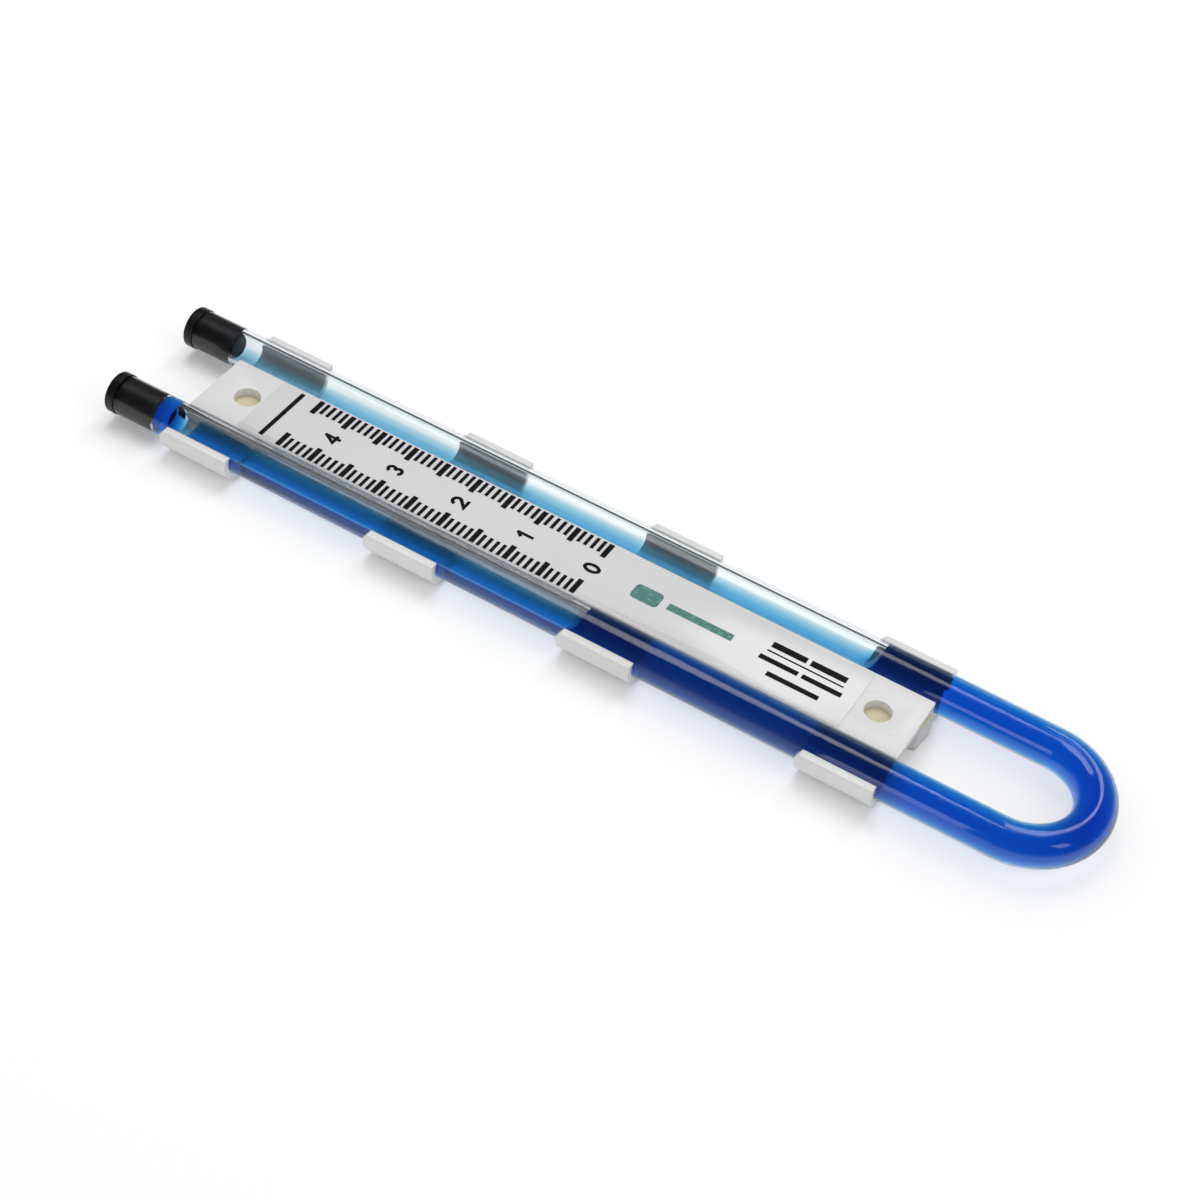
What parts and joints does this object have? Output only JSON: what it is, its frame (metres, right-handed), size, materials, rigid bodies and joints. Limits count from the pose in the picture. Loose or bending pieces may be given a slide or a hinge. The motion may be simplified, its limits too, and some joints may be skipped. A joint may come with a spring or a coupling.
{
  "type": "u-tube manometer",
  "caption": "Clear tube bent into a U and part filled with blue fluid, snapped into the clips of a white bracket with a printed scale, for reading the suction in a vent pipe.",
  "frame": {"origin": "the foam pad's back face, halfway between the two screw holes", "axes": "+X from the open ends to the bend, +Y from the near limb to the far limb, +Z out of the printed face"},
  "size_m": [0.1791, 0.031, 0.0086],
  "materials": {
    "bracket_plastic": "satin",
    "clear_vinyl": "clear gloss",
    "blue_fluid": "clear liquid",
    "black_rubber": "satin",
    "label_film": "satin film",
    "black_ink": "printed",
    "green_ink": "printed",
    "white_foam": "closed-cell foam",
    "release_paper": "waxed paper"
  },
  "bodies": {
    "bracket": {"mounting_bracket": "bracket_plastic", "scale_label": "label_film", "scale_marks": "black_ink", "scale_numerals": "black_ink", "print_bars": "black_ink", "colour_print": "green_ink", "foam_pad": "white_foam", "release_liner": "release_paper"},
    "tube": {"u_tube": "clear_vinyl", "indicator_fluid": "blue_fluid"},
    "near_plug": {"near_stopper": "black_rubber"},
    "far_plug": {"far_stopper": "black_rubber"}
  },
  "joints": [
    {"name": "tube_slide", "type": "slide", "parent": "bracket", "child": "tube", "axis": [1, 0, 0], "range_m": [-0.008, 0.008]},
    {"name": "near_stopper_pull", "type": "slide", "parent": "tube", "child": "near_plug", "axis": [-1, 0, 0], "range_m": [0, 0.012]},
    {"name": "far_stopper_pull", "type": "slide", "parent": "tube", "child": "far_plug", "axis": [-1, 0, 0], "range_m": [0, 0.012]}
  ]
}
